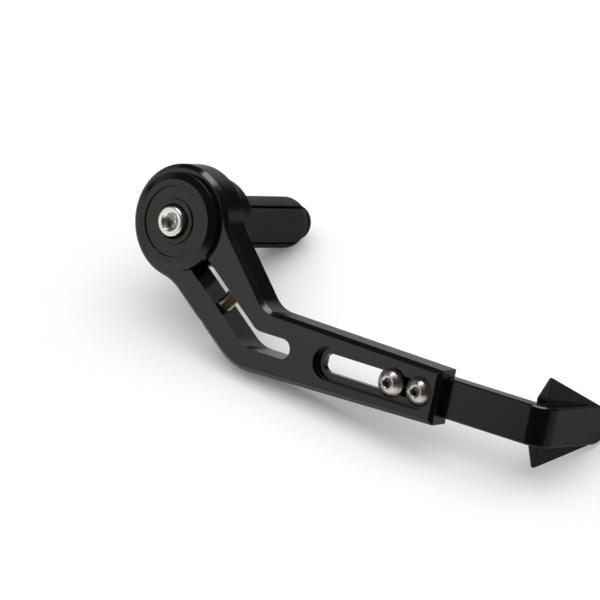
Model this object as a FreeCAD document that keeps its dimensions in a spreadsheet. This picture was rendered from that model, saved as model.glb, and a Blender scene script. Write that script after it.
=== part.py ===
# Brake lever guard: an arm clamped on a bar-end fixing, with a blade that slides in it.
# Zero is the centre of the handlebar's end face. Y runs into the handlebar, X along the
# arm's outer leg and Z up. Lengths are in millimetres and turns in degrees.
import FreeCAD, Part
import math
import os
import re
import Sketcher

os.makedirs("parts", exist_ok=True)
doc = FreeCAD.newDocument("brake_lever_guard")

# The sizes that drive the pieces, then the ones worked out from them
SIZES = [
    ("screw_gap", "0.3", "round the screws where they pass through"),
    ("thread_gap", "0.02", "between a screw and its tapped hole"),
    ("side_gap", "0.05", "each side of the arm on the fixing"),
    ("neck_gap", "0.05", "between the neck and the clamp ring"),
    ("blade_gap", "0.05", "between the blade and the arm's front plate"),
    ("channel_gap", "0.1", "above and below the blade in its channel"),
    ("collar_length", "10.65", ""),
    ("collar_step", "4", "from the clamp ring's outside in to the collar's"),
    ("collar_break", "1", "edge break at the handlebar end"),
    ("arm_depth", "11", ""),
    ("head_radius", "19", "outside of the clamp ring"),
    ("clamp_bore_radius", "12.5", ""),
    ("inner_leg_turn", "35.8", "drop of the inner leg's left side"),
    ("right_side_turn", "46.6", "drop of the inner leg's right side"),
    ("left_side_reach", "15.27", "bar axis to the inner leg's left side"),
    ("right_side_reach", "15.95", "bar axis to the inner leg's right side"),
    ("leg_drop", "30.15", "bar axis down to the outer leg's middle"),
    ("leg_end", "109.9", "bar axis to the free end of the outer leg"),
    ("leg_end_half", "8.9", "half height of that end"),
    ("leg_taper", "1.47", "each side of the outer leg"),
    ("outer_elbow_radius", "20", ""),
    ("inner_elbow_radius", "10", ""),
    ("left_blend_radius", "16", "clamp ring into the inner leg"),
    ("right_blend_radius", "12", "the same on the right"),
    ("front_chamfer", "1.35", ""),
    ("back_chamfer", "1", ""),
    ("end_lean", "5", "slope of the outer leg's end face"),
    ("split_upper", "0.8", "upper side of the split in the inner leg"),
    ("split_width", "7.4", "in the inner leg"),
    ("split_half", "3.3", "half width in the outer leg"),
    ("split_end", "49.35", "centre of the split's round end"),
    ("split_inner_corner", "5", ""),
    ("split_outer_corner", "12", ""),
    ("recess_half", "5.6", "half width of the screw recess"),
    ("recess_depth", "2.5", ""),
    ("slot_half", "3.1", "half width of the through slot"),
    ("slot_start", "67.6", "centre of the slot's inner end"),
    ("slot_finish", "102.3", "centre of the slot's outer end"),
    ("channel_start", "61", ""),
    ("channel_depth", "6", ""),
    ("channel_corner", "2.5", ""),
    ("clamp_along", "30.3", "clamp screw's place along the inner leg"),
    ("clamp_seat", "10", "under the clamp screw's head, left of the middle"),
    ("clamp_length", "16", ""),
    ("clamp_hole_extra", "1.5", "tapped hole beyond the screw's end"),
    ("counterbore_radius", "4.6", ""),
    ("small_screw_radius", "2.5", ""),
    ("small_head_radius", "4.25", ""),
    ("small_head_height", "5", ""),
    ("small_hex_flats", "4", ""),
    ("blade_height", "12.8", ""),
    ("blade_start", "85.5", "inner end of the blade"),
    ("blade_front", "147.4", "bar axis to the blade's far face"),
    ("bend_radius", "6.5", "outside of the square bend"),
    ("bend_inside", "0.6", ""),
    ("blade_chamfer", "0.5", "along the outer edges of the blade"),
    ("arrow_start", "3.5", "blade's back to the arrowhead's tail"),
    ("arrow_step", "6.2", "blade's far face in to the arrowhead's at its tail"),
    ("arrow_lean", "12.5", "of the arrowhead's front face"),
    ("arrow_half", "14.5", "half height at the tail"),
    ("arrow_side_turn", "19", "of the arrowhead's long edges"),
    ("arrow_edge", "1.1", "thickness at those edges"),
    ("arrow_thickness", "4", "at the middle"),
    ("arrow_land_half", "7.3", "half height of the full thickness at the tail"),
    ("arrow_tip_half", "0.5", "half height of the blunt tip"),
    ("arrow_ridge", "0.2", "half width of the ridge beyond that"),
    ("button_head_radius", "4.75", ""),
    ("button_head_height", "2.75", ""),
    ("button_top_radius", "2.3", ""),
    ("button_rim", "0.2", ""),
    ("button_hex_flats", "3", ""),
    ("button_hex_depth", "1.6", ""),
    ("button_length", "8", ""),
    ("inner_screw_along", "91.2", ""),
    ("outer_screw_along", "102", ""),
    ("cap_step", "2.8", "from the clamp ring's outside in to the cap's"),
    ("cap_rim", "1.8", "straight part of the cap's side"),
    ("cap_length", "3.15", ""),
    ("cap_slope", "2.33", "from the cap's side in to its face"),
    ("groove_outer_radius", "11.75", "for the face ring"),
    ("groove_inner_radius", "7.45", ""),
    ("groove_depth", "1.5", ""),
    ("ring_gap", "0.1", ""),
    ("ring_thickness", "1", ""),
    ("head_recess_radius", "5.9", ""),
    ("head_recess_depth", "3.95", ""),
    ("neck_break", "0.5", ""),
    ("main_screw_radius", "3", ""),
    ("main_screw_beyond", "1.85", "past the nut"),
    ("main_head_radius", "5", ""),
    ("main_head_height", "6", ""),
    ("main_hex_flats", "5", ""),
    ("main_hex_depth", "3", ""),
    ("sleeve_radius", "8.8", ""),
    ("sleeve_length", "42", ""),
    ("sleeve_tip", "3.5", "rounded part at the far end"),
    ("sleeve_round", "6", ""),
    ("sleeve_bore_radius", "3.4", ""),
    ("sleeve_slot_width", "1.2", ""),
    ("sleeve_slot_start", "1.5", ""),
    ("sleeve_slot_turn", "48.5", ""),
    ("nut_radius", "6", ""),
    ("nut_beyond", "5.2", "past the sleeve"),
    ("nut_knurl_length", "6.2", ""),
    ("nut_cone_length", "9", ""),
    ("nut_cone_end_radius", "4.2", ""),
    ("cone_gap", "0.05", "between the cone and the sleeve"),
    ("knurl_depth", "0.35", ""),
    ("arm_back", "=collar_length + side_gap", "distances in front of zero"),
    ("arm_face", "=arm_back + arm_depth", ""),
    ("arm_middle", "=arm_back + arm_depth / 2", ""),
    ("plate_back", "=arm_back + channel_depth", ""),
    ("recess_floor", "=arm_face - recess_depth", ""),
    ("cap_back", "=arm_face + side_gap", ""),
    ("cap_face", "=cap_back + cap_length", ""),
    ("groove_floor", "=cap_face - groove_depth", ""),
    ("main_seat", "=cap_face - head_recess_depth", ""),
    ("through_radius", "=main_screw_radius + screw_gap", ""),
    ("blade_face", "=plate_back - blade_gap", ""),
    ("button_seat", "=recess_floor + blade_gap", ""),
    ("channel_half", "=blade_height / 2 + channel_gap", ""),
    ("blade_rear", "=blade_front - channel_depth", ""),
    ("split_lower", "=split_upper - split_width", ""),
    ("taper_slope", "=tan(leg_taper)", ""),
    ("lower_rise", "=leg_drop + leg_end_half + taper_slope * leg_end", ""),
    ("upper_rise", "=leg_drop - leg_end_half - taper_slope * leg_end", ""),
    ("elbow_out_x", "=(lower_rise * cos(inner_leg_turn) - left_side_reach)"
     " / (sin(inner_leg_turn) + taper_slope * cos(inner_leg_turn))", ""),
    ("elbow_out_z", "=taper_slope * elbow_out_x - lower_rise", ""),
    ("elbow_in_x", "=(right_side_reach + upper_rise * cos(right_side_turn))"
     " / (sin(right_side_turn) - taper_slope * cos(right_side_turn))", ""),
    ("elbow_in_z", "=0 - upper_rise - taper_slope * elbow_in_x", ""),
    ("left_meet", "=sqrt(head_radius ^ 2 - left_side_reach ^ 2)", "side to clamp ring"),
    ("right_meet", "=sqrt(head_radius ^ 2 - right_side_reach ^ 2)", ""),
    ("split_in_x", "=(split_upper + (leg_drop - split_half) * cos(inner_leg_turn))"
     " / sin(inner_leg_turn)", ""),
    ("split_out_x", "=(split_lower + (leg_drop + split_half) * cos(inner_leg_turn))"
     " / sin(inner_leg_turn)", ""),
    ("split_root", "=clamp_bore_radius * 0.6", "split's start, inside the bore"),
    ("arrow_front", "=blade_front - arrow_step", ""),
    ("arrow_slope", "=tan(arrow_side_turn)", ""),
    ("arrow_land_end", "=(arrow_land_half - arrow_ridge) / arrow_slope", ""),
    ("arrow_length", "=(arrow_half - arrow_tip_half) / arrow_slope", ""),
    ("arrow_bevel", "=(arrow_thickness - arrow_edge) / (arrow_half - arrow_land_half)", ""),
    ("button_dome", "=(button_head_radius ^ 2 + button_rim ^ 2 - button_top_radius ^ 2"
     " - button_head_height ^ 2) / (2 * (button_head_height - button_rim))", ""),
    ("collar_radius", "=head_radius - collar_step", ""),
    ("cap_radius", "=head_radius - cap_step", ""),
    ("cap_face_radius", "=cap_radius - cap_slope", ""),
    ("sleeve_straight", "=sleeve_length - sleeve_tip", ""),
    ("nut_end", "=sleeve_length + nut_beyond", ""),
    ("main_screw_length", "=main_seat + nut_end + main_screw_beyond", ""),
    ("cone_start", "=nut_end - nut_knurl_length", ""),
    ("cone_finish", "=cone_start - nut_cone_length", ""),
]

sheet = doc.addObject("Spreadsheet::Sheet", "Sizes")
for row, (alias, entry, note) in enumerate(SIZES, start=1):
    sheet.set(f"A{row}", alias)
    sheet.set(f"B{row}", entry)
    sheet.set(f"C{row}", note)
    sheet.setAlias(f"B{row}", alias)
doc.recompute()


# Text of an expression on the sheet's names, from one written without the sheet's name
def bound(text):
    aliases = {alias for alias, entry, note in SIZES}
    return re.sub(r"[a-z_]+", lambda m: "Sizes." * (m[0] in aliases) + m[0], text)


# Number that such an expression has now
def value(text):
    result = sheet.evalExpression(bound(text))
    return float(getattr(result, "Value", result))


# New body with its own label, which is also the name of its file
def new_body(name):
    body = doc.addObject("PartDesign::Body", name)
    body.Label = name
    return body


# Sketch on one of the body's own planes, moved and turned in it by expressions
def new_sketch(body, plane, x="0", y="0", out="0", turn="0"):
    base = [item for item in body.Origin.OriginFeatures if item.Role == plane][0]
    sketch = body.newObject("Sketcher::SketchObject", body.Name + "_sketch")
    sketch.AttachmentSupport = (base, [""])
    sketch.MapMode = "FlatFace"
    sketch.AttachmentOffset = FreeCAD.Placement(
        FreeCAD.Vector(value(x), value(y), value(out)),
        FreeCAD.Rotation(FreeCAD.Vector(0, 0, 1), value(turn)))
    sketch.setExpression("AttachmentOffset.Base.x", bound(x))
    sketch.setExpression("AttachmentOffset.Base.y", bound(y))
    sketch.setExpression("AttachmentOffset.Base.z", bound(out))
    sketch.setExpression("AttachmentOffset.Rotation.Angle", bound(turn))
    return sketch


# Holds one sketch point to a coordinate
def hold(sketch, kind, geometry, point, text):
    index = sketch.addConstraint(
        Sketcher.Constraint(kind, -1, 1, geometry, point, value(text)))
    sketch.renameConstraint(index, f"held{index}")
    sketch.setExpression(f"Constraints.held{index}", bound(text))


# Closed outline. A corner is (x, y), or (x, y, centre x, centre y, held, way) where an
# arc leads to the next corner: held is the centre's held coordinate, way is 1 or -1.
def outline(sketch, corners):
    places = [FreeCAD.Vector(value(c[0]), value(c[1]), 0) for c in corners]
    starts = []
    for index, corner in enumerate(corners):
        here = places[index]
        there = places[(index + 1) % len(corners)]
        if len(corner) == 2:
            item = sketch.addGeometry(Part.LineSegment(here, there), False)
            starts.append((item, 1, 2))
            continue
        centre = FreeCAD.Vector(value(corner[2]), value(corner[3]), 0)
        first, last = (here, there) if corner[5] > 0 else (there, here)
        circle = Part.Circle(centre, FreeCAD.Vector(0, 0, 1), (here - centre).Length)
        turn_in = math.atan2(first.y - centre.y, first.x - centre.x)
        turn_out = math.atan2(last.y - centre.y, last.x - centre.x)
        item = sketch.addGeometry(Part.ArcOfCircle(circle, turn_in, turn_out), False)
        starts.append((item, 1, 2) if corner[5] > 0 else (item, 2, 1))
    for index, corner in enumerate(corners):
        item, start, end = starts[index]
        after = starts[(index + 1) % len(corners)]
        sketch.addConstraint(Sketcher.Constraint("Coincident", item, end, after[0], after[1]))
        hold(sketch, "DistanceX", item, start, corner[0])
        hold(sketch, "DistanceY", item, start, corner[1])
        if len(corner) > 2:
            kind = "DistanceX" if corner[4] == "x" else "DistanceY"
            hold(sketch, kind, item, 3, corner[2] if corner[4] == "x" else corner[3])


# Circle at the sketch's origin
def round_outline(sketch, radius):
    circle = Part.Circle(FreeCAD.Vector(0, 0, 0), FreeCAD.Vector(0, 0, 1), value(radius))
    item = sketch.addGeometry(circle, False)
    sketch.addConstraint(Sketcher.Constraint("Coincident", item, 3, -1, 1))
    index = sketch.addConstraint(Sketcher.Constraint("Radius", item, value(radius)))
    sketch.renameConstraint(index, f"held{index}")
    sketch.setExpression(f"Constraints.held{index}", bound(radius))


# Slot with round ends along the sketch's x axis
def slot_outline(sketch, start, finish, half):
    outline(sketch, [
        (start, half, start, "0", "x", 1),
        (start, f"0 - {half}"),
        (finish, f"0 - {half}", finish, "0", "x", 1),
        (finish, half),
    ])


# Regular hexagon by its distance across flats
def hexagon(sketch, flats):
    reach = f"{flats} / sqrt(3)"
    outline(sketch, [(f"{reach} * cos({60 * k})", f"{reach} * sin({60 * k})")
                     for k in range(6)])


# Feature in a body, made from a sketch or on another feature
def feature(body, kind, sketch, **settings):
    item = body.newObject("PartDesign::" + kind, body.Name + "_" + kind.lower())
    item.Profile = sketch
    if kind == "AdditiveLoft":
        item.Profile = (sketch, [""])
    for name, setting in settings.items():
        if isinstance(setting, str) and name in ("Length", "Angle"):
            item.setExpression(name, bound(setting))
        else:
            setattr(item, name, setting)
    doc.recompute()
    return item


# Piece turned on the Y axis from its half section
def turned(body, corners):
    sketch = new_sketch(body, "XY_Plane")
    outline(sketch, corners)
    return feature(body, "Revolution", sketch, ReferenceAxis=(sketch, ["V_Axis"]))


# Names of the edges that run along Y at one place
def upright_edges(item, x, z):
    names = []
    for index, edge in enumerate(item.Shape.Edges, start=1):
        points = [vertex.Point for vertex in edge.Vertexes]
        near = all(math.hypot(p.x - x, p.z - z) < 0.05 for p in points)
        if near and len(points) == 2 and abs(points[0].y - points[1].y) > 1:
            names.append(f"Edge{index}")
    return names


# Name of the largest flat face that lies at one place along Y
def face_at(item, y):
    best = (0, "")
    for index, face in enumerate(item.Shape.Faces, start=1):
        box = face.BoundBox
        if abs(box.YMin - y) < 0.01 and abs(box.YMax - y) < 0.01:
            best = max(best, (face.Area, f"Face{index}"))
    return best[1]


# Rounds or chamfers named edges or faces of the last feature
def dress(body, kind, item, names, size):
    result = body.newObject("PartDesign::" + kind, body.Name + "_" + kind.lower())
    result.Base = (item, names)
    result.setExpression("Radius" if kind == "Fillet" else "Size", bound(size))
    doc.recompute()
    return result


# Arm: clamp ring and two legs milled from one billet
arm = new_body("guard_arm")
sketch = new_sketch(arm, "XZ_Plane", out="arm_back")
round_outline(sketch, "head_radius")
feature(arm, "Pad", sketch, Length="arm_depth")
sketch = new_sketch(arm, "XZ_Plane", out="arm_back")
outline(sketch, [
    ("0 - left_side_reach * sin(inner_leg_turn)",
     "0 - left_side_reach * cos(inner_leg_turn)"),
    ("elbow_out_x", "elbow_out_z"),
    ("leg_end", "0 - leg_drop - leg_end_half"),
    ("leg_end", "leg_end_half - leg_drop"),
    ("elbow_in_x", "elbow_in_z"),
    ("right_side_reach * sin(right_side_turn)",
     "right_side_reach * cos(right_side_turn)"),
])
last = feature(arm, "Pad", sketch, Length="arm_depth")

# End face of the outer leg, leaning back a little from its front edge
sketch = new_sketch(arm, "XY_Plane", x="leg_end", y="0 - arm_face")
outline(sketch, [
    ("0", "0"),
    ("5", "0"),
    ("5", "arm_depth"),
    ("0 - tan(end_lean) * arm_depth", "arm_depth"),
])
last = feature(arm, "Pocket", sketch, Length="leg_drop * 4", SideType="Symmetric")

# Blends between the ring and the legs and at the elbow
ring_left_x = value("left_meet * cos(inner_leg_turn) - left_side_reach * sin(inner_leg_turn)")
ring_left_z = value("0 - left_meet * sin(inner_leg_turn) - left_side_reach * cos(inner_leg_turn)")
ring_right_x = value("right_meet * cos(right_side_turn) + right_side_reach * sin(right_side_turn)")
ring_right_z = value("right_side_reach * cos(right_side_turn) - right_meet * sin(right_side_turn)")
for x, z, radius in [
    (value("elbow_out_x"), value("elbow_out_z"), "outer_elbow_radius"),
    (value("elbow_in_x"), value("elbow_in_z"), "inner_elbow_radius"),
    (ring_left_x, ring_left_z, "left_blend_radius"),
    (ring_right_x, ring_right_z, "right_blend_radius"),
]:
    last = dress(arm, "Fillet", last, upright_edges(last, x, z), radius)
last = dress(arm, "Chamfer", last, [face_at(last, -value("arm_face"))], "front_chamfer")
last = dress(arm, "Chamfer", last, [face_at(last, -value("arm_back"))], "back_chamfer")

# Clamp bore, and the split that opens into it
sketch = new_sketch(arm, "XZ_Plane", out="arm_face")
round_outline(sketch, "clamp_bore_radius")
feature(arm, "Pocket", sketch, Type=1)
sketch = new_sketch(arm, "XZ_Plane", out="arm_face")
outline(sketch, [
    ("split_root * cos(inner_leg_turn) + split_upper * sin(inner_leg_turn)",
     "split_upper * cos(inner_leg_turn) - split_root * sin(inner_leg_turn)"),
    ("split_root * cos(inner_leg_turn) + split_lower * sin(inner_leg_turn)",
     "split_lower * cos(inner_leg_turn) - split_root * sin(inner_leg_turn)"),
    ("split_out_x", "0 - leg_drop - split_half"),
    ("split_end", "0 - leg_drop - split_half", "split_end", "0 - leg_drop", "x", 1),
    ("split_end", "split_half - leg_drop"),
    ("split_in_x", "split_half - leg_drop"),
])
last = feature(arm, "Pocket", sketch, Type=1)
names = upright_edges(last, value("split_in_x"), value("split_half - leg_drop"))
last = dress(arm, "Fillet", last, names, "split_inner_corner")
names = upright_edges(last, value("split_out_x"), value("0 - leg_drop - split_half"))
last = dress(arm, "Fillet", last, names, "split_outer_corner")

# Recess and through slot for the blade's screws
sketch = new_sketch(arm, "XZ_Plane", y="0 - leg_drop", out="arm_face")
slot_outline(sketch, "slot_start", "slot_finish", "recess_half")
feature(arm, "Pocket", sketch, Length="recess_depth")
sketch = new_sketch(arm, "XZ_Plane", y="0 - leg_drop", out="arm_face")
slot_outline(sketch, "slot_start", "slot_finish", "slot_half")
feature(arm, "Pocket", sketch, Type=1)

# Channel for the blade, open at the back and at the leg's end
sketch = new_sketch(arm, "XZ_Plane", y="0 - leg_drop", out="arm_back")
outline(sketch, [
    ("channel_start", "channel_half"),
    ("channel_start", "0 - channel_half"),
    ("leg_end + 5", "0 - channel_half"),
    ("leg_end + 5", "channel_half"),
])
last = feature(arm, "Pocket", sketch, Length="channel_depth", Reversed=True)
for side in ("channel_half", "0 - channel_half"):
    names = upright_edges(last, value("channel_start"), value(side + " - leg_drop"))
    last = dress(arm, "Fillet", last, names, "channel_corner")

# Stepped hole for the clamp screw, square to the inner leg
sketch = new_sketch(
    arm, "XZ_Plane", out="arm_middle", turn="0 - inner_leg_turn",
    x="clamp_along * cos(inner_leg_turn)", y="0 - clamp_along * sin(inner_leg_turn)")
outline(sketch, [
    ("0", "0 - left_side_reach - 3"),
    ("counterbore_radius", "0 - left_side_reach - 3"),
    ("counterbore_radius", "0 - clamp_seat"),
    ("small_screw_radius + screw_gap", "0 - clamp_seat"),
    ("small_screw_radius + screw_gap", "split_lower + split_width / 2"),
    ("small_screw_radius + thread_gap", "split_lower + split_width / 2"),
    ("small_screw_radius + thread_gap", "clamp_length + clamp_hole_extra - clamp_seat"),
    ("0", "clamp_length + clamp_hole_extra - clamp_seat"),
])
feature(arm, "Groove", sketch, ReferenceAxis=(sketch, ["V_Axis"]))


# Socket cap screw on the Y axis, with its head's underside at zero and its end at +Y
def cap_screw(name, radius, length, head_radius, head_height, flats, depth):
    body = new_body(name)
    turned(body, [
        ("0", f"0 - {head_height}"),
        (f"{head_radius} - {radius} * 0.16", f"0 - {head_height}"),
        (head_radius, f"{radius} * 0.16 - {head_height}"),
        (head_radius, "0"),
        (radius, "0"),
        (radius, f"{length} - {radius} * 0.3"),
        (f"{radius} * 0.7", length),
        ("0", length),
    ])
    socket = new_sketch(body, "XZ_Plane", out=head_height)
    hexagon(socket, flats)
    feature(body, "Pocket", socket, Length=depth)
    return body


# Clamp screw, across the split
clamp_screw = cap_screw("clamp_screw", "small_screw_radius", "clamp_length",
                        "small_head_radius", "small_head_height", "small_hex_flats",
                        "small_head_height / 2")
clamp_screw.setExpression("Placement", bound(
    "placement(vector(clamp_along * cos(inner_leg_turn) - clamp_seat * sin(inner_leg_turn)"
    " ; 0 - arm_middle ;"
    " 0 - clamp_along * sin(inner_leg_turn) - clamp_seat * cos(inner_leg_turn)) ;"
    " rotationy(inner_leg_turn) * rotationx(90))"))

# Bar-end weight: cap, neck for the clamp ring and the screw's seat
end_weight = new_body("end_weight")
turned(end_weight, [
    ("through_radius", "0 - collar_length"),
    ("through_radius", "0 - main_seat"),
    ("head_recess_radius", "0 - main_seat"),
    ("head_recess_radius", "0 - cap_face"),
    ("groove_inner_radius", "0 - cap_face"),
    ("groove_inner_radius", "0 - groove_floor"),
    ("groove_outer_radius", "0 - groove_floor"),
    ("groove_outer_radius", "0 - cap_face"),
    ("cap_face_radius", "0 - cap_face"),
    ("cap_radius", "0 - cap_back - cap_rim"),
    ("cap_radius", "0 - cap_back"),
    ("clamp_bore_radius - neck_gap", "0 - cap_back"),
    ("clamp_bore_radius - neck_gap", "0 - collar_length - neck_break"),
    ("clamp_bore_radius - neck_gap - neck_break", "0 - collar_length"),
])

# Ring let into the cap's face
face_ring = new_body("face_ring")
turned(face_ring, [
    ("groove_inner_radius + ring_gap", "0 - groove_floor"),
    ("groove_inner_radius + ring_gap", "0 - groove_floor - ring_thickness"),
    ("groove_outer_radius - ring_gap", "0 - groove_floor - ring_thickness"),
    ("groove_outer_radius - ring_gap", "0 - groove_floor"),
])

# Collar between the arm and the handlebar
rear_collar = new_body("rear_collar")
turned(rear_collar, [
    ("through_radius", "0 - collar_length"),
    ("collar_radius", "0 - collar_length"),
    ("collar_radius", "0 - collar_break"),
    ("collar_radius - collar_break", "0"),
    ("through_radius", "0"),
])

# Long screw through the whole fixing
centre_screw = cap_screw("centre_screw", "main_screw_radius", "main_screw_length",
                         "main_head_radius", "main_head_height", "main_hex_flats",
                         "main_hex_depth")
centre_screw.setExpression("Placement.Base.y", bound("0 - main_seat"))

# Expander sleeve: four fingers with a cone inside their free ends
sleeve = new_body("expander_sleeve")
turned(sleeve, [
    ("sleeve_bore_radius", "0"),
    ("sleeve_radius", "0"),
    ("sleeve_radius", "sleeve_straight", "sleeve_radius - sleeve_round",
     "sleeve_straight", "y", 1),
    ("sleeve_radius - sleeve_round + sqrt(sleeve_round ^ 2"
     " - (sleeve_length - sleeve_straight) ^ 2)", "sleeve_length"),
    ("nut_radius + cone_gap", "sleeve_length"),
    ("nut_radius + cone_gap", "cone_start"),
    ("nut_cone_end_radius + cone_gap", "cone_finish"),
    ("sleeve_bore_radius", "cone_finish"),
])
sketch = new_sketch(sleeve, "XZ_Plane", out="0 - sleeve_slot_start",
                    turn="sleeve_slot_turn")
outline(sketch, [
    ("0", "sleeve_slot_width / 2"),
    ("0", "0 - sleeve_slot_width / 2"),
    ("sleeve_radius + 1", "0 - sleeve_slot_width / 2"),
    ("sleeve_radius + 1", "sleeve_slot_width / 2"),
])
cut = feature(sleeve, "Pocket", sketch, Length="sleeve_length")
pattern = sleeve.newObject("PartDesign::PolarPattern", "sleeve_slots")
pattern.Originals = [cut]
pattern.Axis = ([item for item in sleeve.Origin.OriginFeatures
                 if item.Role == "Y_Axis"][0], [""])
pattern.Angle = 360
pattern.Occurrences = 4
sleeve.Tip = pattern
doc.recompute()

# Cone nut that spreads the sleeve, with a knurled rim
nut = new_body("cone_nut")
turned(nut, [
    ("main_screw_radius + thread_gap", "cone_finish"),
    ("nut_cone_end_radius", "cone_finish"),
    ("nut_radius", "cone_start"),
    ("nut_radius", "nut_end - 0.4"),
    ("nut_radius - 0.4", "nut_end"),
    ("main_screw_radius + thread_gap", "nut_end"),
])
sketch = new_sketch(nut, "XZ_Plane", out="0 - nut_end - 1", turn="5.625")
outline(sketch, [
    ("nut_radius - knurl_depth", "0"),
    ("nut_radius + 0.2", "0 - knurl_depth * 1.4"),
    ("nut_radius + 0.2", "knurl_depth * 1.4"),
])
cut = feature(nut, "Pocket", sketch, Length="nut_knurl_length + 1", Reversed=True)
pattern = nut.newObject("PartDesign::PolarPattern", "nut_knurl")
pattern.Originals = [cut]
pattern.Axis = ([item for item in nut.Origin.OriginFeatures
                 if item.Role == "Y_Axis"][0], [""])
pattern.Angle = 360
pattern.Occurrences = 32
nut.Tip = pattern
doc.recompute()

# Blade: flat bar with a square bend, and the arrowhead on its far end
blade = new_body("blade")
sketch = new_sketch(blade, "XY_Plane")
outline(sketch, [
    ("blade_start", "0 - arm_back"),
    ("blade_start", "0 - blade_face"),
    ("blade_front - bend_radius", "0 - blade_face", "blade_front - bend_radius",
     "bend_radius - blade_face", "x", 1),
    ("blade_front", "bend_radius - blade_face"),
    ("blade_front", "arrow_start - arm_back + (blade_front - arrow_front) / tan(arrow_lean)"),
    ("arrow_front - arrow_edge / 2", "arrow_start - arm_back"),
    ("blade_rear", "arrow_start - arm_back"),
    ("blade_rear", "bend_inside - arm_back", "blade_rear - bend_inside",
     "bend_inside - arm_back", "x", -1),
    ("blade_rear - bend_inside", "0 - arm_back"),
])
last = feature(blade, "Pad", sketch, Length="blade_height", SideType="Symmetric")

# Its outer edges, above and below, broken along the front, the bend and the far side
names = []
for index, edge in enumerate(last.Shape.Edges, start=1):
    point = edge.valueAt((edge.FirstParameter + edge.LastParameter) / 2)
    level = edge.BoundBox.ZLength < 0.01
    front = abs(point.y + value("blade_face")) < 0.01
    side = abs(point.x - value("blade_front")) < 0.01
    bend = abs(math.hypot(point.x - value("blade_front - bend_radius"),
                          point.y - value("bend_radius - blade_face"))
               - value("bend_radius")) < 0.01
    if level and (front or side or bend):
        names.append(f"Edge{index}")
last = dress(blade, "Chamfer", last, names, "blade_chamfer")

# Arrowhead: leaning plate, thinned from behind towards its long edges
sections = []
for down, half, land, thickness in [
    ("0", "arrow_half", "arrow_land_half", "arrow_thickness"),
    ("arrow_land_end", "arrow_half - arrow_land_half + arrow_ridge", "arrow_ridge",
     "arrow_thickness"),
    ("arrow_length", "arrow_tip_half", "arrow_ridge / 2",
     "arrow_edge + arrow_bevel * (arrow_tip_half - arrow_ridge / 2)"),
]:
    front = f"arrow_front + ({down}) * tan(arrow_lean)"
    sketch = new_sketch(blade, "XZ_Plane", out=f"arm_back - arrow_start - ({down})")
    outline(sketch, [
        (front, f"0 - ({half})"),
        (front, half),
        (f"{front} - arrow_edge", half),
        (f"{front} - ({thickness})", land),
        (f"{front} - ({thickness})", f"0 - ({land})"),
        (f"{front} - arrow_edge", f"0 - ({half})"),
    ])
    sections.append(sketch)
doc.recompute()
last = feature(blade, "AdditiveLoft", sections[0], Sections=sections[1:], Ruled=True)

# Sides of the bar trimmed to the arrowhead's outline
sketch = new_sketch(blade, "YZ_Plane", x="arrow_start - arm_back")
for side in ("", "0 - "):
    outline(sketch, [
        ("0", f"{side}arrow_half"),
        ("arrow_length", f"{side}arrow_tip_half"),
        ("arrow_length", f"{side}arrow_half"),
    ])
last = feature(blade, "Pocket", sketch, Length="blade_front + 20", Reversed=True)

# Tapped holes for the two screws
for along in ("inner_screw_along", "outer_screw_along"):
    sketch = new_sketch(blade, "XZ_Plane", x=along, out="blade_face")
    round_outline(sketch, "small_screw_radius + thread_gap")
    feature(blade, "Pocket", sketch, Length="blade_face - arm_back")
blade.setExpression("Placement.Base.z", bound("0 - leg_drop"))

# Button head screws that hold the blade
for name, along in [("slot_screw_inner", "inner_screw_along"),
                    ("slot_screw_outer", "outer_screw_along")]:
    screw = new_body(name)
    turned(screw, [
        ("0", "0 - button_head_height"),
        ("button_top_radius", "0 - button_head_height", "0", "button_dome", "x", 1),
        ("button_head_radius", "0 - button_rim"),
        ("button_head_radius", "0"),
        ("small_screw_radius", "0"),
        ("small_screw_radius", "button_length - 0.7"),
        ("small_screw_radius * 0.7", "button_length"),
        ("0", "button_length"),
    ])
    sketch = new_sketch(screw, "XZ_Plane", out="button_head_height")
    hexagon(sketch, "button_hex_flats")
    feature(screw, "Pocket", sketch, Length="button_hex_depth")
    screw.setExpression("Placement.Base.x", bound(along))
    screw.setExpression("Placement.Base.y", bound("0 - button_seat"))
    screw.setExpression("Placement.Base.z", bound("0 - leg_drop"))

# Checks on every object and piece, then the export
doc.recompute()
for item in doc.Objects:
    if "Invalid" in item.State or "Error" in item.State:
        raise RuntimeError(f"{item.Label} did not rebuild")
for body in doc.Objects:
    if body.TypeId != "PartDesign::Body":
        continue
    if body.Shape.isNull() or not body.Shape.isValid() or len(body.Shape.Solids) != 1:
        raise RuntimeError(f"{body.Label} is not one valid solid")
    body.Shape.exportStep(f"parts/{body.Label}.step")
    print(body.Label, round(body.Shape.Volume, 1))
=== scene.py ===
import bmesh
import bpy
import math
from mathutils import Matrix, Vector


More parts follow.
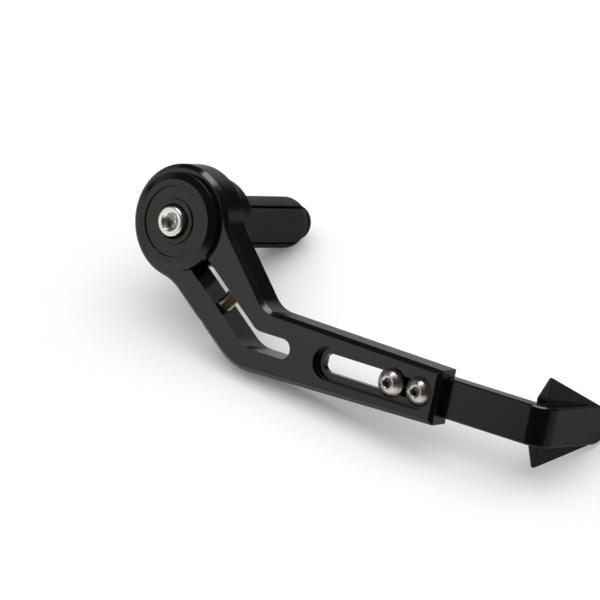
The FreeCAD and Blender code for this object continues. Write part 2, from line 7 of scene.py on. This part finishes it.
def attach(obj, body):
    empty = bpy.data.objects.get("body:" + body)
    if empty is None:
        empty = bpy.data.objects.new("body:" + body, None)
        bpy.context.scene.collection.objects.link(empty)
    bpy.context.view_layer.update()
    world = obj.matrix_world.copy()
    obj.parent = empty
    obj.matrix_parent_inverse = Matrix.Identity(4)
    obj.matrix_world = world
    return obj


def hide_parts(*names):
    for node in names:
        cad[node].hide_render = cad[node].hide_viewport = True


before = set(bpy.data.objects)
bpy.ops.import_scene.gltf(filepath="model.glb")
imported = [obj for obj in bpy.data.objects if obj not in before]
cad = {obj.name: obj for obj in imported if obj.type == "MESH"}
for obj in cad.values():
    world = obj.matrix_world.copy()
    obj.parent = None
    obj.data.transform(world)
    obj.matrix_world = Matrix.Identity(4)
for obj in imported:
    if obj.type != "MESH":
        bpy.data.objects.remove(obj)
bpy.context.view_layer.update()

# Arm. Milled from aluminium plate with its clamp ring, split, long slot and channel in
# one piece, bead blasted and dyed black in the anodising bath. The dyed skin is thinner
# on the edges, so they read a little lighter than the flats.
def join(tree, node, links):
    """Sets inputs of a node to values, or joins them to other nodes' outputs"""
    for socket, value in links:
        if isinstance(value, bpy.types.NodeSocket):
            tree.links.new(value, node.inputs[socket])
        else:
            node.inputs[socket].default_value = value


def put(tree, kind, links=(), **settings):
    """A new node with its settings made and some of its inputs joined"""
    node = tree.nodes.new(kind)
    for key, value in settings.items():
        setattr(node, key, value)
    join(tree, node, links)
    return node


def object_place(tree):
    """The point that is shaded, in the object's own coordinates"""
    return put(tree, "ShaderNodeTexCoord").outputs["Object"]


def noise(tree, place, scale, detail, roughness):
    return put(tree, "ShaderNodeTexNoise", [
        ("Vector", place), ("Scale", scale), ("Detail", detail), ("Roughness", roughness),
    ]).outputs["Fac"]


def spread(tree, value, low, high, to_low=0.0, to_high=1.0, smooth=False):
    """The value carried from one range over to another"""
    return put(tree, "ShaderNodeMapRange", [
        ("Value", value), ("From Min", low), ("From Max", high),
        ("To Min", to_low), ("To Max", to_high),
    ], interpolation_type="SMOOTHSTEP" if smooth else "LINEAR").outputs["Result"]


def maths(tree, operation, *values, clamp=False):
    return put(tree, "ShaderNodeMath", list(enumerate(values)), operation=operation,
               use_clamp=clamp).outputs[0]


def vector_maths(tree, operation, *values):
    """A vector operation's result, which is a number where the operation gives one"""
    node = put(tree, "ShaderNodeVectorMath", list(enumerate(values)), operation=operation)
    is_number = operation in ("DOT_PRODUCT", "LENGTH", "DISTANCE")
    return node.outputs["Value" if is_number else "Vector"]


def mix_colour(tree, factor, first, second):
    """Two colours mixed, through the colour sockets of the mix node: 6, 7 and output 2"""
    return put(tree, "ShaderNodeMix", [(0, factor), (6, first), (7, second)],
               data_type="RGBA").outputs[2]


def scaled(colour, factor):
    return tuple(value * factor for value in colour[:3]) + (1.0,)


def bumped(tree, height, strength, distance, normal=None):
    """A bumped normal, over the one that is given"""
    links = [("Height", height), ("Strength", strength), ("Distance", distance)]
    if normal is not None:
        links.append(("Normal", normal))
    return put(tree, "ShaderNodeBump", links).outputs["Normal"]


def colour_group(name, numbers, outputs):
    """A node group with number inputs, given as (name, value), and (name, kind) outputs"""
    group = bpy.data.node_groups.new(name, "ShaderNodeTree")
    for label, value in numbers:
        socket = group.interface.new_socket(label, in_out="INPUT", socket_type="NodeSocketFloat")
        socket.default_value = value
    for label, kind in outputs:
        group.interface.new_socket(label, in_out="OUTPUT", socket_type=kind)
    return group, group.nodes.new("NodeGroupInput").outputs, group.nodes.new("NodeGroupOutput")


# Grain of bead blasting under the dyed skin, broad clouds in the dye, and handled patches
blasted, given, end = colour_group(
    "blasted_skin", [("Grain size", 0.00018), ("Cloud size", 0.012)],
    [("Grain", "NodeSocketFloat"), ("Cloud", "NodeSocketFloat"), ("Handling", "NodeSocketFloat")])
place = object_place(blasted)
fine = noise(blasted, place, maths(blasted, "DIVIDE", 1.0, given["Grain size"]), 3.0, 0.6)
cloud = noise(blasted, place, maths(blasted, "DIVIDE", 1.0, given["Cloud size"]), 4.0, 0.55)
touch = noise(blasted, place, 45.0, 5.0, 0.7)
join(blasted, end, [
    ("Grain", fine),
    ("Cloud", spread(blasted, cloud, 0.3, 0.7)),
    ("Handling", spread(blasted, touch, 0.5, 0.75, smooth=True)),
])

# Where a corner has been tumbled and handled: rounded normals and a broken mask
broken_edge, given, end = colour_group(
    "broken_edge", [("Width", 0.00025), ("Patchiness", 0.5)],
    [("Wear", "NodeSocketFloat"), ("Normal", "NodeSocketVector")])
rounded = put(broken_edge, "ShaderNodeBevel", [("Radius", given["Width"])], samples=6).outputs[0]
flat = put(broken_edge, "ShaderNodeNewGeometry").outputs["True Normal"]
turned_off = spread(broken_edge, vector_maths(broken_edge, "DOT_PRODUCT", rounded, flat),
                    0.995, 0.8, smooth=True)
patches = spread(broken_edge, noise(broken_edge, object_place(broken_edge), 350.0, 4.0, 0.65),
                 0.35, 0.65)
kept = maths(broken_edge, "MULTIPLY", patches, given["Patchiness"])
join(broken_edge, end, [
    ("Wear", maths(broken_edge, "SUBTRACT", turned_off, kept, clamp=True)),
    ("Normal", rounded),
])


def start_material(name):
    material = bpy.data.materials.new(name)
    material.use_nodes = True
    tree = material.node_tree
    return material, tree, tree.nodes["Principled BSDF"]


def cover(node, material):
    """Gives a CAD node its material in every slot"""
    piece = cad[node]
    if not piece.material_slots:
        piece.data.materials.append(material)
    for place in piece.material_slots:
        place.material = material


def dyed_aluminium(name, dye, edge, roughness, index, edge_width):
    """Blasted and dyed aluminium: near-black dye, lighter worn edges, satin skin"""
    material, tree, skin = start_material(name)
    blast = put(tree, "ShaderNodeGroup", node_tree=blasted).outputs
    worn = put(tree, "ShaderNodeGroup", [("Width", edge_width)], node_tree=broken_edge).outputs
    clouded = mix_colour(tree, blast["Cloud"], dye, scaled(dye, 1.5))
    wear = maths(tree, "MULTIPLY", worn["Wear"], 0.8)
    grained = spread(tree, blast["Grain"], 0.3, 0.7, roughness - 0.04, roughness + 0.05)
    join(tree, skin, [
        ("Base Color", mix_colour(tree, wear, clouded, edge)),
        ("Roughness", maths(tree, "MULTIPLY_ADD", blast["Handling"], -0.05, grained)),
        ("Normal", bumped(tree, blast["Grain"], 0.12, 0.00002, worn["Normal"])),
        ("IOR", index),
    ])
    return material


cover("guard_arm", dyed_aluminium(
    "blasted_black_aluminium", (0.0024, 0.0023, 0.0021, 1), (0.05, 0.049, 0.047, 1),
    roughness=0.15, index=1.47, edge_width=0.0003))

# Blade. Milled flat bar with a square bend and the arrowhead left on it, blasted finer
# than the arm and dyed black.
cover("blade", dyed_aluminium(
    "fine_black_aluminium", (0.0020, 0.0020, 0.0022, 1), (0.045, 0.045, 0.047, 1),
    roughness=0.19, index=1.44, edge_width=0.0005))


# Bar-end weight, face ring and rear collar. Turned from aluminium bar, so the tool has
# left rings round the handlebar's axis, and dyed black like the arm.
def from_y_axis(tree, place):
    """Distance of a point from the Y axis, and its separate X, Y and Z"""
    parts = put(tree, "ShaderNodeSeparateXYZ", [(0, place)]).outputs
    across = put(tree, "ShaderNodeCombineXYZ", [(0, parts[0]), (1, parts[2])]).outputs[0]
    return vector_maths(tree, "LENGTH", across), parts


def tool_lines(tree, track):
    """Noise along one number, as a tool leaves its lines"""
    return put(tree, "ShaderNodeTexNoise", [("W", track), ("Scale", 1.0), ("Detail", 2.0)],
               noise_dimensions="1D").outputs["Fac"]


turned_lines, given, end = colour_group(
    "turned_lines", [("Line pitch", 0.00012)],
    [("Line", "NodeSocketFloat"), ("Band", "NodeSocketFloat")])
radius, parts = from_y_axis(turned_lines, object_place(turned_lines))
track = maths(turned_lines, "ADD", radius, parts[1])
join(turned_lines, end, [
    ("Line", tool_lines(turned_lines, maths(turned_lines, "DIVIDE", track, given["Line pitch"]))),
    ("Band", tool_lines(turned_lines, maths(turned_lines, "MULTIPLY", track, 900.0))),
])

turned_black, tree, skin = start_material("turned_black_aluminium")
marks = put(tree, "ShaderNodeGroup", node_tree=turned_lines).outputs
blast = put(tree, "ShaderNodeGroup", node_tree=blasted).outputs
worn = put(tree, "ShaderNodeGroup", node_tree=broken_edge).outputs
dye = (0.0022, 0.0022, 0.0021, 1)
ringed = mix_colour(tree, marks["Band"], dye, scaled(dye, 1.5))
wear = maths(tree, "MULTIPLY", worn["Wear"], 0.7)
join(tree, skin, [
    ("Base Color", mix_colour(tree, wear, ringed, (0.045, 0.045, 0.045, 1))),
    ("Roughness", spread(tree, blast["Cloud"], 0.0, 1.0, 0.16, 0.23)),
    ("Normal", bumped(tree, marks["Line"], 0.12, 0.00002, worn["Normal"])),
    ("IOR", 1.44),
])
for name in ("end_weight", "face_ring", "rear_collar"):
    cover(name, turned_black)


# Main screw and the two slot screws. Stainless steel, cold headed and bright, with a
# countersunk hexagon socket, whose colour has painted shade that darkens with depth into
# it. The main screw's thread shows past the nut.
def bright_steel(name, centre, face, mouth, roughness, tint, socket_shade):
    """Stainless head, turned about the Y line through centre, with its end face at Y face,
    and with painted shade in the socket, which is mouth in radius, darker with depth"""
    material, tree, skin = start_material(name)
    place = object_place(tree)
    moved = put(tree, "ShaderNodeMapping", [
        ("Vector", place), ("Location", (-centre[0], -face, -centre[1]))]).outputs[0]
    radius, parts = from_y_axis(tree, moved)
    lines = tool_lines(tree, maths(tree, "MULTIPLY", radius, 9000.0))
    worn = put(tree, "ShaderNodeGroup", [("Width", 0.00015)], node_tree=broken_edge).outputs
    soot = spread(tree, noise(tree, place, 900.0, 4.0, 0.6), 0.3, 0.7)
    metal = mix_colour(tree, soot, tint, scaled(tint, 0.8))
    # Painted shade: inside the socket's mouth the colour darkens with depth into the head
    sunk = maths(tree, "MULTIPLY", spread(tree, parts[1], 0.0002, 0.0012),
                 maths(tree, "LESS_THAN", radius, mouth))
    join(tree, skin, [
        ("Base Color", mix_colour(tree, sunk, metal, socket_shade)),
        ("Metallic", 1.0),
        ("Roughness", spread(tree, lines, 0.3, 0.7, roughness - 0.05, roughness + 0.07)),
        ("Normal", bumped(tree, lines, 0.15, 0.00002, worn["Normal"])),
    ])
    return material


def add_object(name, data):
    piece = bpy.data.objects.new(name, data)
    bpy.context.scene.collection.objects.link(piece)
    return piece


def dress(name, shape, material, turn_on, sharp):
    """An object of the shape, put where turn_on carries it, smooth up to the angle sharp"""
    bmesh.ops.recalc_face_normals(shape, faces=shape.faces)
    for face in shape.faces:
        face.smooth = True
    for edge in shape.edges:
        edge.smooth = edge.calc_face_angle(0) < sharp
    mesh = bpy.data.meshes.new(name)
    shape.to_mesh(mesh)
    shape.free()
    mesh.transform(turn_on)
    mesh.materials.append(material)
    return add_object(name, mesh)


def drawn_on(shape, face):
    """Extrudes a face and gives its new place, with the old one taken out"""
    grown = bmesh.ops.extrude_face_region(shape, geom=[face])["geom"]
    bmesh.ops.delete(shape, geom=[face], context="FACES_ONLY")
    return next(part for part in grown if isinstance(part, bmesh.types.BMFace))


def socket_screw(name, material, rings, key_wide, mouth, deep, turn_on):
    """A screw drawn out from its end face ring by ring, each a radius and a height, with a
    countersunk hexagon socket in that face"""
    shape = bmesh.new()
    bmesh.ops.create_circle(shape, cap_ends=True, segments=96, radius=rings[0][0])
    top = next(iter(shape.faces))
    sunk = top.copy()
    for wide, height in rings[1:]:
        top = drawn_on(shape, top)
        now = top.verts[0].co.xy.length
        bmesh.ops.scale(shape, verts=top.verts, vec=(wide / now, wide / now, 1))
        bmesh.ops.translate(shape, verts=top.verts, vec=(0, 0, height - top.verts[0].co.z))
    for step in ("mouth", "countersink", "wall", "point"):
        sunk = drawn_on(shape, sunk)
        for vert in sunk.verts:
            turn = math.atan2(vert.co.y, vert.co.x)
            side = key_wide / 2 / math.cos(turn % math.radians(60) - math.radians(30))
            reach, low = {
                "mouth": (mouth, 0),
                "countersink": (side, 0.8 * (mouth - side)),
                "wall": (side, deep),
                "point": (side * 0.2, deep + key_wide / 8),
            }[step]
            vert.co = (reach * math.cos(turn), reach * math.sin(turn), low)
    bmesh.ops.remove_doubles(shape, verts=shape.verts, dist=0.000001)
    return dress(name, shape, material, turn_on, sharp=0.2)


def wound_thread(name, material, root, crest, pitch, start, turns, turn_on):
    """A thread's ridge, wound up a core of radius root and let a little into it"""
    shape = bmesh.new()
    foot, steps_round = root - 0.0001, 36
    ridge = [shape.verts.new((x, 0, z * pitch)) for x, z in (
        (foot, 0), (root, 0.07), (crest, 0.44), (crest, 0.54), (root, 0.9), (foot, 0.97))]
    edges = [shape.edges.new(pair) for pair in zip(ridge, ridge[1:] + ridge[:1])]
    bmesh.ops.spin(shape, geom=ridge + edges, cent=(0, 0, 0), axis=(0, 0, 1),
                   angle=2 * math.pi * turns, steps=steps_round * turns,
                   dvec=(0, 0, pitch / steps_round))
    bmesh.ops.holes_fill(shape, edges=shape.edges, sides=0)
    bmesh.ops.translate(shape, verts=shape.verts, vec=(0, 0, start))
    return dress(name, shape, material, turn_on, sharp=3.0)


def curve(start, end, first, last, steps):
    """Points of an arc between two profile points, with its slope going from first to last"""
    first, last = math.radians(first), math.radians(last)
    points = []
    for step in range(steps + 1):
        slope = first + (last - first) * step / steps
        along = (math.sin(slope) - math.sin(first)) / (math.sin(last) - math.sin(first))
        down = (math.cos(first) - math.cos(slope)) / (math.cos(first) - math.cos(last))
        points.append((start[0] + (end[0] - start[0]) * along,
                       start[1] + (end[1] - start[1]) * down))
    return points


inward = Matrix.Rotation(math.radians(-90), 4, "X")
face = -0.02695
head, head_round, head_tall = 0.005, 0.0007, 0.006
shank, root, crest, pitch = 0.003, 0.00255, 0.00299, 0.001
shank_end, core_end, point = 0.0705, 0.0755, 0.0005
# The last colour is the painted shade at the bottom of the socket
main_steel = bright_steel("main_screw_steel", (0.0, 0.0), face, 0.0036, 0.30,
                          (0.93, 0.91, 0.85, 1), (0.66, 0.65, 0.61, 1))
turn_on = Matrix.Translation((0, face, 0)) @ inward
screw = socket_screw(
    "main_screw_core", main_steel,
    curve((head - head_round, 0), (head, head_round), 0, 90, 10) + [
        (head, head_tall), (shank, head_tall), (shank, shank_end - point), (root, shank_end),
        (root, core_end), (0.0020, core_end + point)],
    key_wide=0.005, mouth=0.0034, deep=0.0024, turn_on=turn_on)
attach(screw, "bar_end")
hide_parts("centre_screw")
thread = wound_thread("main_screw_thread", main_steel, root, crest, pitch, shank_end - 0.0001, 4,
                      turn_on)
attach(thread, "bar_end")

face, level = -0.022, -0.03015
head, head_tall, shank, screw_end, point = 0.00475, 0.00275, 0.0025, 0.01075, 0.00075
dome = curve((0.0023, 0), (head - 0.00004, 0.0021), 35, 47, 6)
for name, along in (("inner", 0.0912), ("outer", 0.1020)):
    # The last colour is the painted shade at the bottom of the socket
    steel = bright_steel(f"{name}_slot_screw_steel", (along, level), face, 0.0021, 0.31,
                         (0.78, 0.75, 0.69, 1), (0.26, 0.21, 0.17, 1))
    screw = socket_screw(
        f"{name}_slot_screw", steel,
        dome + [
            (head, 0.00215), (head, head_tall - 0.0001), (head - 0.00015, head_tall),
            (shank, head_tall), (shank, screw_end - 0.0007), (shank - point, screw_end)],
        key_wide=0.003, mouth=0.0019, deep=0.0016,
        turn_on=Matrix.Translation((along, face, level)) @ inward)
    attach(screw, "blade_set")
    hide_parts(f"slot_screw_{name}")


# Expander sleeve. Black plastic, moulded in a spark-eroded tool, so it is matt, with
# four slots that let it open inside the handlebar.
material, tree, skin = start_material("moulded_black_plastic")
blast = put(tree, "ShaderNodeGroup", [("Grain size", 0.00035)], node_tree=blasted).outputs
join(tree, skin, [
    ("Base Color", mix_colour(tree, blast["Cloud"], (0.008, 0.0082, 0.0088, 1),
                              (0.013, 0.0132, 0.014, 1))),
    ("Roughness", spread(tree, blast["Grain"], 0.3, 0.7, 0.42, 0.56)),
    ("Specular IOR Level", 0.3),
    ("Normal", bumped(tree, blast["Grain"], 0.4, 0.00005)),
])
cover("expander_sleeve", material)


# Cone nut. Steel, knurled and blackened, drawn into the sleeve by the main screw. The
# tips of its knurls have worn back to the metal.
material, tree, skin = start_material("blackened_steel")
blast = put(tree, "ShaderNodeGroup", node_tree=blasted).outputs
worn = put(tree, "ShaderNodeGroup", [("Width", 0.00012)], node_tree=broken_edge).outputs
join(tree, skin, [
    ("Base Color", mix_colour(tree, worn["Wear"], (0.010, 0.010, 0.0105, 1),
                              (0.16, 0.16, 0.165, 1))),
    ("Metallic", 0.6),
    ("Roughness", spread(tree, blast["Cloud"], 0.0, 1.0, 0.38, 0.52)),
    ("Normal", bumped(tree, blast["Grain"], 0.3, 0.00003, worn["Normal"])),
])
cover("cone_nut", material)


# Clamp screw. Steel, zinc plated and yellow passivated, in the counterbore of the inner
# leg. Its rolled thread shows where it crosses the split, with painted shade and dirt in its
# roots.
lean = math.radians(35.8)
along_leg, arm_middle, seat_off = 0.0303, -0.0162, 0.010
middle = Vector((along_leg * math.cos(lean), arm_middle, -along_leg * math.sin(lean)))
up_screw = Vector((math.sin(lean), 0, math.cos(lean)))
head, head_break, head_tall = 0.00425, 0.0004, 0.005
shank, root, pitch, long, point = 0.0025, 0.00198, 0.0008, 0.016, 0.0005

material, tree, skin = start_material("yellow_zinc_plate")
place = object_place(tree)
shift = noise(tree, place, 260.0, 4.0, 0.6)
worn = put(tree, "ShaderNodeGroup", [("Width", 0.0001)], node_tree=broken_edge).outputs
off_middle = vector_maths(tree, "SUBTRACT", place, middle)
off_axis = vector_maths(tree, "LENGTH", vector_maths(tree, "CROSS_PRODUCT", off_middle, up_screw))
# Painted shade with dirt: the thread darkens towards its roots, by distance from the screw's axis
out_of_root_shade = spread(tree, off_axis, root + 0.0001, shank - 0.00012, smooth=True)
plate = mix_colour(tree, spread(tree, shift, 0.35, 0.65), (0.86, 0.72, 0.43, 1),
                   (0.70, 0.55, 0.32, 1))
join(tree, skin, [
    # The dark colour is the painted shade and dirt in the thread's roots
    ("Base Color", mix_colour(tree, out_of_root_shade, (0.035, 0.024, 0.013, 1), plate)),
    ("Metallic", 1.0),
    ("Roughness", spread(tree, shift, 0.3, 0.7, 0.24, 0.38)),
    ("Normal", worn["Normal"]),
])

turn_on = (Matrix.Translation(middle - up_screw * (seat_off + head_tall))
           @ up_screw.to_track_quat("Z", "Y").to_matrix().to_4x4())
screw = socket_screw(
    "clamp_screw_core", material, [
        (head - head_break, 0), (head, head_break), (head, head_tall), (root, head_tall),
        (root, head_tall + long - point), (root * 0.75, head_tall + long)],
    key_wide=0.004, mouth=0.0024, deep=0.0026, turn_on=turn_on)
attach(screw, "arm")
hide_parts("clamp_screw")
thread = wound_thread("clamp_screw_thread", material, root, shank, pitch, head_tall + 0.0002, 19,
                      turn_on)
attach(thread, "arm")


# Table, lights and camera. The guard rests on the nut's rim, the elbow and the arrow's
# tip, on a white table seen from 35 degrees up, among wide soft lights.
def standing(x_axis, y_axis, z_axis, place):
    """Turns X, Y and Z to these axes and carries zero to the place"""
    return Matrix.Translation(place) @ Matrix((x_axis, y_axis, z_axis)).transposed().to_4x4()


camera_right = Vector((0.8030, 0.5617, 0.1989))
up = Vector((0.1042, -0.4613, 0.8811)).normalized()
right = (camera_right - up * camera_right.dot(up)).normalized()
away = up.cross(right)
stood = Vector((0.0347, -0.0117, -0.0408))
below, half_wide = 0.0001, 1.5
shape = bmesh.new()
bmesh.ops.create_grid(shape, x_segments=1, y_segments=1, size=half_wide)
table_mesh = bpy.data.meshes.new("table_top")
shape.to_mesh(table_mesh)
shape.free()
table_mesh.transform(standing(right, away, up, stood - up * below))
table = add_object("table_top", table_mesh)

# White, with painted shade that only the guard's reflections see, where it would mirror too
# much of the table: darker to the right and behind. Plain white far off, and clear from below
material, tree, skin = start_material("white_table")
join(tree, skin, [
    ("Base Color", (0.79, 0.79, 0.79, 1)), ("Roughness", 0.9), ("Specular IOR Level", 0.0)])
rays = put(tree, "ShaderNodeLightPath").outputs
place = object_place(tree)
# Painted shade for glossy rays only: the table darkens to the right and behind
rightward = vector_maths(tree, "DOT_PRODUCT", place, right)
backward = vector_maths(tree, "DOT_PRODUCT", place, away)
mirrored_shade_reach = maths(tree, "MAXIMUM", spread(tree, rightward, 0.03, 0.11),
               spread(tree, backward, -0.04, 0.0))
mirrored_shade_colour = mix_colour(tree, mirrored_shade_reach, (0.80, 0.80, 0.80, 1), (0.25, 0.25, 0.26, 1))
mirrored_shade = put(tree, "ShaderNodeBsdfDiffuse", [("Color", mirrored_shade_colour)]).outputs[0]
paper = put(tree, "ShaderNodeMixShader", [
    (0, rays["Is Glossy Ray"]), (1, skin.outputs[0]), (2, mirrored_shade)]).outputs[0]
off = vector_maths(tree, "DISTANCE", place, stood + right * 0.03)
far_off = maths(tree, "MULTIPLY", spread(tree, off, 0.22, 0.34, 0.15, 1.0, smooth=True),
                rays["Is Camera Ray"])
plain = put(tree, "ShaderNodeEmission", [("Color", (1, 1, 1, 1)), ("Strength", 1.0)]).outputs[0]
faded = put(tree, "ShaderNodeMixShader", [(0, far_off), (1, paper), (2, plain)]).outputs[0]
from_below = put(tree, "ShaderNodeNewGeometry").outputs["Backfacing"]
clear = put(tree, "ShaderNodeBsdfTransparent").outputs[0]
sides = put(tree, "ShaderNodeMixShader", [(0, from_below), (1, faded), (2, clear)]).outputs[0]
join(tree, tree.nodes["Material Output"], [("Surface", sides)])
table.data.materials.append(material)


def soft_light(name, across, back, high, wide, deep, power, tint):
    """A flat soft light at a place over the table, turned to the guard"""
    target = Vector((0.065, 0, -0.015))
    lamp = bpy.data.lights.new(name, "AREA")
    lamp.shape, lamp.size, lamp.size_y, lamp.energy = "RECTANGLE", wide, deep, power
    lamp.color = tint
    box = add_object(name, lamp)
    box.location = target + right * across + away * back + up * high
    box.rotation_mode = "QUATERNION"
    box.rotation_quaternion = (box.location - target).to_track_quat("Z", "Y")
    box.visible_camera = False
    return box


# Lamps and cards that the guard mirrors and that leave the table as it is, then the two
# that light the table and aren't mirrored
for row in (
    ("over_light", 0.11, 0.235, 1.0, 0.80, 0.48, 8.0, (0.96, 0.97, 1.0)),
    ("left_card", -0.79, -0.03, 0.22, 0.70, 0.46, 1.05, (1.0, 0.99, 0.94)),
    ("back_card", 0.22, 1.10, 0.10, 1.10, 0.24, 0.3, (1, 1, 1)),
    ("back_left_card", -0.75, 0.75, 0.36, 0.80, 0.50, 0.36, (1, 1, 1)),
    ("rear_light", 0.50, 0.90, 1.0, 0.70, 0.50, 6.0, (0.97, 0.98, 1.0)),
):
    soft_light(*row).visible_diffuse = False
for row in (
    ("over_fill", 0.10, 0.10, 1.0, 1.9, 1.5, 6.0, (0.90, 0.95, 1.0)),
    ("wide_fill", 0.0, 0.0, 1.6, 4.0, 4.0, 79.0, (0.985, 0.98, 0.985)),
):
    soft_light(*row).visible_glossy = False

# A dim room, which the camera sees as white
world = bpy.data.worlds.new("studio")
bpy.context.scene.world = world
world.use_nodes = True
tree = world.node_tree
tree.nodes.clear()
rays = put(tree, "ShaderNodeLightPath").outputs
room = put(tree, "ShaderNodeBackground", [("Color", (0.02, 0.02, 0.021, 1))]).outputs[0]
white = put(tree, "ShaderNodeBackground", [("Color", (1, 1, 1, 1))]).outputs[0]
seen = put(tree, "ShaderNodeMixShader", [
    (0, rays["Is Camera Ray"]), (1, room), (2, white)]).outputs[0]
put(tree, "ShaderNodeOutputWorld", [("Surface", seen)])

# Camera, placed so that the middle of the arm's face falls on its pixel of the photograph
camera_up, camera_back = Vector((-0.2494, 0.0136, 0.9682)), Vector((0.5412, -0.8272, 0.1511))
arm_face = Vector((0, -0.0217, 0))
distance, pixels_per_metre, picture_middle = 1.2, 3049, 300
pixel_right, pixel_down = 179.01, 221.26
lens = bpy.data.cameras.new("camera")
lens.lens, lens.sensor_width, lens.sensor_fit = 219.5, 36.0, "HORIZONTAL"
lens.clip_start, lens.clip_end = 0.05, 10.0
camera = add_object("camera", lens)
camera.matrix_world = standing(
    camera_right, camera_up, camera_back,
    arm_face + camera_back * distance
    + camera_right * ((picture_middle - pixel_right) / pixels_per_metre)
    + camera_up * ((pixel_down - picture_middle) / pixels_per_metre))
bpy.context.scene.camera = camera
bpy.context.scene.view_settings.view_transform = "Standard"
